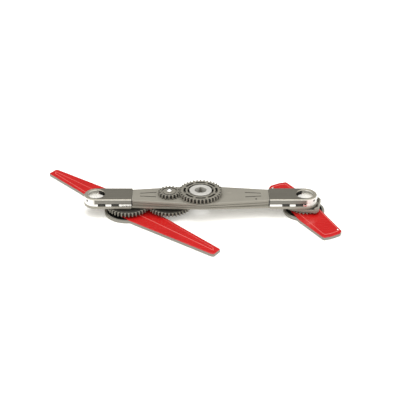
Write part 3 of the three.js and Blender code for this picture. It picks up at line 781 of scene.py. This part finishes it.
mesh_piece("upper_shell_body", upper_shell(), SHELL, "arm", ["upper_shell"])
mesh_piece("lower_shell_body", lower_shell(), SHELL, "arm", ["lower_shell"])
for side, turn in (("left", math.pi), ("right", 0.0)):
    sheet = placed(end_cap(side == "right"), HUB_X, 0, turn)
    mesh_piece(f"{side}_cap_sheet", sheet, CAP, "arm", [f"{side}_end_cap"])
    dish = placed(eye_liner(), HUB_X, 0, turn)
    mesh_piece(f"{side}_eye_dish", dish, CUP_STEEL, "arm", [f"{side}_eye_liner"])


def drive_hub():
    """The hub in one lathe cut: barrel, shoulder and flange about a keyed bore."""
    profile = [
        (2.95, 8.6), (2.75, 8.8), (2.75, 20.6), (0.2, 20.6),
        (0, 20.8), (0, 21.25), (0.12, 21.48), (0.4, 21.6),
    ]
    bore_profile = [(0.2, 8.6), (0, 8.8), (0, 21.3), (0.12, 21.5), (0.3, 21.6)]
    return plate(circle(9.65, count=96), profile, [(keyed_bore(5.1, 1.8, 1.2), bore_profile)])


mesh_piece("drive_hub_body", placed(drive_hub(), HUB_X), HUB_STEEL, "arm", ["drive_hub"])


# ---------------------------------------------------------------- gears

def sun_gear():
    """Toothed rim with arc slots, an inner ring, and eight spokes between them."""
    edge = level_profile(18.0, 21.3, 0.22, 2)
    slots = [slot_outline(13, 14.8, k * 45, 36) for k in range(8)]
    rim = plate(gear_outline(WHEEL_TEETH), edge, [circle(11.3, count=72), *slots])
    inner = ring(8, 9.95, 18, 20.4, 0.15, count=72)
    spoke = block(9.8, 11.6, -0.95, 0.95, 18.2, 20.3, 0.15)
    spokes = [placed(spoke, turn=math.radians(22.5 + k * 45)) for k in range(8)]
    return joined(rim, inner, *spokes)


def pinion():
    """Small gear with a ring-shaped groove in its upper face."""
    rim = plate(gear_outline(PINION_TEETH), level_profile(17.5, 20.4, 0.22, 2), [circle(6.8)])
    web = ring(2.0, 6.9, 17.7, 19.5, 0.1)
    boss = ring(2.0, 5.5, 17.6, 20.25, 0.25)
    return joined(rim, web, boss)


def low_gear(bore):
    """Gear under the arm: rim, thinner web, and a boss."""
    rim = plate(gear_outline(WHEEL_TEETH), level_profile(5, 8, 0.2, 2), [circle(14.4)])
    web = plate(circle(14.5), level_profile(5.7, 7.3, 0.1, 1), [circle(6.3)])
    boss = ring(bore, 6.5, 5, 8, 0.2)
    return joined(rim, web, boss)


def collar():
    """Toothed collar on the short blade."""
    return plate(gear_outline(COLLAR_TEETH), level_profile(3.7, 4.9, 0.15, 2), [circle(4.5)])


for node, body, x, turn, material, rides in (
    ("sun_gear", sun_gear(), HUB_X, 0, SUN_GEAR, "sun"),
    ("pinion", pinion(), IDLER_X, math.radians(10), PINION_GEAR, "idler"),
    ("idler_gear", low_gear(2.0), IDLER_X, 0, IDLER_GEAR, "idler"),
    ("long_blade_gear", low_gear(3.1), LONG_X, math.radians(5), BLADE_GEAR, "long_blade"),
    ("short_blade_collar", collar(), SHORT_X, SHORT_TURN, GEAR, "short_blade"),
):
    mesh_piece(f"{node}_body", placed(body, x, 0, turn), material, rides, [node])

# ---------------------------------------------------------------- shafts and pins

def domed(radius, bottom, top, neck_radius, foot, steps=7):
    """A pin with a plain shank and a domed head whose section is a quarter ellipse."""
    turn = np.linspace(0, math.pi / 2 * 0.97, steps)
    dome = [(radius * (1 - math.cos(a)), bottom + 0.35 + (top - bottom - 0.35) * math.sin(a)) for a in turn]
    neck = radius - neck_radius
    shank = [(neck + 0.2, foot), (neck, foot + 0.2), (neck, bottom), (0.1, bottom), (0, bottom + 0.1)]
    return plate(circle(radius), [*shank, *dome])


def headed(radius, foot, top, head_radius, head_top):
    """A shaft with a flat head at its foot."""
    inset = head_radius - radius
    profile = [(0.25, foot), (0, foot + 0.2), (0, head_top - 0.1), (0.1, head_top), (inset, head_top),
               (inset, top - 0.3), (inset + 0.3, top)]
    return plate(circle(head_radius), profile)


def socket_screw(head_radius, foot, head_top, shank_radius, top):
    """A button-head screw seen from below, with a hexagon socket in its head."""
    socket_top = foot + (head_top - foot) * 0.6
    hexagon = circle(head_radius * 0.5, count=6)
    profile = [(0.35, foot), (0.1, foot + 0.15), (0, foot + 0.35), (0, socket_top)]
    rim = plate(circle(head_radius, count=32), profile, [(hexagon, [(0, foot), (0, socket_top)])])
    crown = disc(head_radius, socket_top - 0.05, head_top, 0.03, count=32)
    shank = disc(shank_radius, head_top - 0.1, top, 0.2, count=24)
    return joined(rim, crown, shank)


mesh_piece("idler_pin", placed(domed(2.6, 20.5, 22.35, 1.9, 4.0), IDLER_X), BRIGHT, "idler",
           ["idler_shaft"])
mesh_piece("long_blade_axle", placed(headed(3.0, 0.4, 15.1, 5.1, 1.2), LONG_X), BRIGHT, "long_blade",
           ["long_blade_shaft"])
pivot_profile = [(2.2, 0.5), (1.9, 0.8), (1.9, 9.0), (0.1, 9.0), (0, 9.1), (0, 9.7), (0.2, 9.9)]
pivot = placed(plate(circle(4.9), pivot_profile), SHORT_X)
mesh_piece("short_blade_pin", pivot, BRIGHT, "arm", ["short_blade_pivot"])
for number, x in enumerate(SCREW_PLACES, 1):
    screw = placed(socket_screw(2.4, 8.6, 9.6, 1.15, 14.8), HUB_X + x)
    node = f"shell_screw_{number}"
    mesh_piece(f"{node}_body", screw, BRIGHT, "arm", [node])

RING_NODES = (       # node, material, body it rides on, axis
    ("hub_lock_ring", DULL_STEEL, "arm", HUB_X),
    ("sun_washer", DULL_STEEL, "arm", HUB_X),
    ("sun_bush", BRONZE, "sun", HUB_X),
    ("idler_washer", DULL_STEEL, "idler", IDLER_X),
    ("idler_retaining_ring", DULL_STEEL, "idler", IDLER_X),
    ("idler_lower_bush", BRONZE, "arm", IDLER_X),
    ("idler_upper_bush", BRONZE, "arm", IDLER_X),
    ("long_blade_washer", DULL_STEEL, "long_blade", LONG_X),
    ("long_blade_retaining_ring", DULL_STEEL, "long_blade", LONG_X),
    ("long_blade_bush", BRONZE, "arm", LONG_X),
    ("short_blade_retaining_ring", DULL_STEEL, "arm", SHORT_X),
    ("short_blade_bush", BRONZE, "short_blade", SHORT_X),
    ("bracket_spacer", DULL_STEEL, "arm", SHORT_X),
    ("long_blade_spacer", GEAR, "long_blade", LONG_X),
)


def inner_radius(node):
    """Distance from a ring node's axis to its nearest vertex, in millimetres."""
    low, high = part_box(node)
    middle = (low + high) / 2
    corners = np.array([vertex.co for vertex in frame["nodes"][node].data.vertices])
    return float(np.hypot(corners[:, 0] - middle.x, corners[:, 1] - middle.y).min()) / MM


for node, material, rides, axis in RING_NODES:
    low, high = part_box(node)
    body = ring(inner_radius(node), (high.x - low.x) / 2 / MM, low.z / MM, high.z / MM, 0.1, (axis, 0))
    mesh_piece(f"{node}_body", body, material, rides, [node])


# ---------------------------------------------------------------- blades

def resampled(corners, counts):
    """Points along a half outline, counts[i] of them from corner i towards the next; the last
    stretch runs to the half turn of the first corner."""
    corners = np.asarray(corners, float)
    ahead = np.concatenate([corners[1:], -corners[:1]])
    return np.concatenate([
        start + (end - start) * (np.arange(count) / count)[:, None]
        for start, end, count in zip(corners, ahead, counts)
    ])


def two_halves(half):
    """A closed outline from one half and the same half turned 180 degrees."""
    return np.concatenate([half, -half])


# Half outlines of each blade and of its panel, with the number of points on each stretch.
LONG_HALF = [(-102.6, -4.75), (2, -13.0), (14.6, -14), (102.0, -5.3), (103.8, -3.95)]
LONG_PANEL = [(-97.3, -1.9), (0, -11.0), (16, -2.0), (98.5, -0.85), (100.0, -0.6)]
LONG_COUNTS = (44, 10, 40, 3, 8)
SHORT_HALF = [
    (-45.8, -9.4), (2, -12.7), (14.6, -13.7), (46.5, -10.4), (48.8, -9.8), (49.75, -3.3), (48.8, 5.95),
]
SHORT_PANEL = [(-44.6, -7.8), (0, -11.0), (6, -9.0), (43.6, -7.5), (45.4, -6.8), (46.1, -3.0), (45.6, 5.2)]
SHORT_COUNTS = (30, 8, 20, 4, 6, 8, 5)


def blade_plate(half, panel_half, counts, bore):
    """The red plate: a rounded outer edge, a bevel that climbs to a thin crest round the
    raised panel, and the panel itself a little below the crest."""
    outer = two_halves(resampled(half, counts))
    panel = two_halves(resampled(panel_half, counts))
    def level_ring(outline, inset, height):
        return np.column_stack([pushed(outline, inset), np.full(len(outline), height)])

    edge = [(0.3, 2.5), (0.05, 2.58), (0, 2.7), (0, 2.9), (0.08, 3.02), (0.22, 3.1), (0.4, 3.13)]
    crest = [(-0.3, 3.38), (-0.22, 3.46), (-0.08, 3.5), (0.1, 3.5), (0.24, 3.46), (0.36, 3.38), (0.5, 3.36)]
    low_edge, crest_foot = level_ring(outer, *edge[-1]), level_ring(panel, *crest[0])
    rings = [level_ring(outer, *step) for step in edge]
    rings += [low_edge + (crest_foot - low_edge) * part for part in (0.03, 0.97)]
    rings += [level_ring(panel, *step) for step in crest]
    hole = circle(bore, count=40)
    return carried([(np.stack(rings), 1), (stacked(hole, [(0, 2.5), (0, 3.36)], -1), -1)])


def disc_and_blade(half, radius, count=288):
    """Outline of a disc joined to a blade: at each angle the farther of the two edges."""
    corners = two_halves(np.asarray(half, float))
    ahead = np.roll(corners, -1, 0)
    corner_angle = np.arctan2(corners[:, 1], corners[:, 0])
    angle = np.concatenate([np.arange(count) * 2 * math.pi / count - math.pi, corner_angle])
    angle = np.unique(np.round(angle, 5))
    ray = np.column_stack([np.cos(angle), np.sin(angle)])
    side = ahead - corners
    across = ray[:, :1] * side[:, 1] - ray[:, 1:] * side[:, 0]
    reach = (corners[:, 0] * side[:, 1] - corners[:, 1] * side[:, 0]) / across
    place = (corners[:, 0] * ray[:, 1:] - corners[:, 1] * ray[:, :1]) / across
    hit = (reach > 0) & (place > -1e-6) & (place < 1 + 1e-6)
    farthest = np.where(hit, reach, 0).max(1)
    return ray * np.maximum(farthest, radius)[:, None]


def blade_base(half, radius, bore, holes):
    """The grey base: blade and disc in one, with a dish in the disc and pockets below."""
    profile = [(0.5, 0), (0.15, 0.12), (0, 0.4), (0, 2.05), (0.12, 2.3), (0.35, 2.4)]
    blank = plate(disc_and_blade(half, radius), profile)
    dish = plate(circle(radius - 2, count=96), [(0.25, 1.6), (0, 1.85), (0, 3)])
    cuts = [dish, disc(bore, -1, 3, 0, count=40), disc(5.4, -1, 1.3, 0)]
    for x, y, through, pocket in holes:
        cuts.append(disc(through, -1, 3, 0, (x, y), 20))
        if pocket:
            cuts.append(disc(pocket, -1, 1.2, 0, (x, y), 28))
    return carved(blank, *cuts)


def rubber_pad(inner, outer):
    """A flat ring with rounded edges and two moulded grooves."""
    profile = [(0.3, 1.7), (0, 1.95), (0, 2.2), (0.2, 2.36), (3.0, 2.38), (3.2, 2.2), (3.6, 2.2), (3.8, 2.38),
               (7.0, 2.38), (7.2, 2.2), (7.6, 2.2), (7.8, 2.38), (8.2, 2.38)]
    return plate(circle(outer, count=96), profile, [(circle(inner), [(0, 1.7), (0, 2.38)])])


def blade_rivet():
    """A small rivet with a domed head above the plate."""
    turn = np.linspace(0, math.pi / 2 * 0.95, 6)
    head = [(0.85 * (1 - math.cos(a)), 3.4 + 0.55 * math.sin(a)) for a in turn]
    return plate(circle(0.85, count=32), [(0.15, 0.2), (0.15, 3.3), (0, 3.3), *head])


LONG_SCREWS = [(88, 0.5), (45, 0.5), (-45, -0.5), (-88, -0.5)]
SHORT_RIVETS = [(43.4, 7), (-43.4, -7)]


def on_long(body):
    return placed(body, LONG_X, 0, LONG_TURN)


def on_short(body):
    return placed(body, SHORT_X, 0, SHORT_TURN)


BLADES = (       # name, placing, red, cover, base, pad, then the small parts that hold it
    ("long_blade", on_long, LONG_RED, blade_plate(LONG_HALF, LONG_PANEL, LONG_COUNTS, 3.1),
     blade_base(LONG_HALF, 21, 3.1, [(x, y, 1.0, 2.1) for x, y in LONG_SCREWS]),
     rubber_pad(3.1, 18.7), "screw", socket_screw(1.9, 0.3, 1.1, 0.9, 3.1), LONG_SCREWS),
    ("short_blade", on_short, RED, blade_plate(SHORT_HALF, SHORT_PANEL, SHORT_COUNTS, 4.5),
     blade_base(SHORT_HALF, 18, 4.5, [(x, y, 0.8, 0) for x, y in SHORT_RIVETS]),
     rubber_pad(4.6, 15.7), "rivet", blade_rivet(), SHORT_RIVETS),
)
for blade, on_blade, red, cover, base, pad, kind, fixing, spots in BLADES:
    mesh_piece(f"{blade}_cover", on_blade(cover), red, blade, [f"{blade}_plate"])
    mesh_piece(f"{blade}_base_body", on_blade(base), BASE, blade, [f"{blade}_base"])
    mesh_piece(f"{blade}_pad_ring", on_blade(pad), RUBBER, blade, [f"{blade}_pad"])
    for number, (x, y) in enumerate(spots, 1):
        node = f"{blade}_{kind}_{number}"
        mesh_piece(f"{node}_body", on_blade(placed(fixing, x, y)), BRIGHT, blade, [node])


# ---------------------------------------------------------------- swing bracket

def swing_bracket():
    """A moulded tray with a low rim, and a higher lip round its chamfered end."""
    corners = [(11.2, -10.4), (13.6, -7.5), (13.6, 7.5), (11.2, 10.4)]
    outline = filleted([(-14, -10.4), *corners, (-14, 10.4)], [5, 1, 1, 1, 1, 5], 9)
    tray = [
        (0.5, 5.2), (0.12, 5.32), (0, 5.55), (0, 7.8), (0.12, 7.97), (0.4, 8.0),
        (0.85, 8.0), (1.05, 7.85), (1.15, 6.6), (1.35, 6.3), (1.7, 6.2),
    ]
    lip = [
        (1.1, 7.0), (0.01, 7.0), (0.01, 10.0), (0.12, 10.22),
        (0.35, 10.3), (0.75, 10.3), (1.0, 10.2), (1.1, 10.0),
    ]
    lip_rings = stacked(outline, lip, 1)
    index = np.arange(lip_rings.shape[0] * lip_rings.shape[1]).reshape(lip_rings.shape[:2])
    above = np.roll(index, -1, 0)
    wall = np.stack([index, np.roll(index, -1, 1), np.roll(above, -1, 1), above], -1)
    lip_body = (lip_rings.reshape(-1, 3), wall.reshape(-1, 4), np.empty((0, 3), int))
    lip_body = carved(lip_body, block(-30, 10.2, -20, 20, 0, 20, 0))
    slot = plate(filleted([(8.6, -5), (11.4, -5), (11.4, 5), (8.6, 5)], 1.2), [(0, 4), (0, 7)])
    tray_body = carved(plate(outline, tray), disc(3.12, 0, 20, 0, count=40), slot)
    return joined(tray_body, lip_body)


mesh_piece("swing_bracket_body", placed(swing_bracket(), SHORT_X, 0, BRACKET_TURN), BRACKET, "bracket",
           ["swing_bracket"])


# ---------------------------------------------------------------- floor, light and camera

def floor_material():
    """A white light table's top: almost even, with the faintest tooth, lit a little from below."""
    material, v, shader = new_material("white_floor")
    tooth = v.noise(900, 3)
    feed(shader, v.tree, Base_Color=tooth.mix((0.80, 0.80, 0.795, 1), (0.83, 0.83, 0.825, 1)), Roughness=0.9,
         Specular_IOR_Level=0.2, Emission_Color=(0.25, 0.245, 0.23, 1), Emission_Strength=1.0)
    return material


floor_mesh = bpy.data.meshes.new("floor")
floor_mesh.from_pydata([(-4, -4, 0), (4, -4, 0), (4, 8, 0), (-4, 8, 0)], [], [(0, 1, 2, 3)])
floor_mesh.materials.append(floor_material())
floor = bpy.data.objects.new("floor", floor_mesh)
bpy.context.collection.objects.link(floor)

def studio_world():
    """Surroundings of the table: light in front of it, fading to a dim wall behind it."""
    world = bpy.data.worlds.new("studio")
    world.use_nodes = True
    v = Value(world.node_tree)
    heading = v.node("ShaderNodeTexCoord")
    behind = v.node("ShaderNodeSeparateXYZ", inputs={0: heading}, output=1).step(0.05, 0.5)
    shade = behind.mix((1.4, 1.38, 1.31, 1), (0.16, 0.16, 0.155, 1))
    world.node_tree.links.new(shade.socket, world.node_tree.nodes["Background"].inputs["Color"])
    bpy.context.scene.world = world


studio_world()


def area_light(name, place, aim, size, watts):
    light = bpy.data.lights.new(name, "AREA")
    light.shape = "RECTANGLE"
    light.size, light.size_y = size
    light.energy = watts
    lamp = bpy.data.objects.new(name, light)
    lamp.location = place
    lamp.rotation_euler = (Vector(aim) - Vector(place)).to_track_quat("-Z", "Y").to_euler()
    bpy.context.collection.objects.link(lamp)


area_light("overhead_softbox", (0.05, 0.18, 1.0), (0.02, 0.05, 0), (1.1, 0.8), 8.0)

SIGHT = math.radians(29.5)           # camera's height above the horizon
DISTANCE = 0.778
AIM = Vector(((HUB_X - 0.5) * MM, 0, 0.0114))
camera_data = bpy.data.cameras.new("camera")
camera_data.sensor_width = 36
camera_data.lens = 80.4
camera = bpy.data.objects.new("camera", camera_data)
camera.location = AIM + Vector((0, -math.cos(SIGHT), math.sin(SIGHT))) * DISTANCE
camera.rotation_euler = (AIM - camera.location).to_track_quat("-Z", "Y").to_euler()
bpy.context.collection.objects.link(camera)
bpy.context.scene.camera = camera
bpy.context.scene.view_settings.view_transform = "Standard"
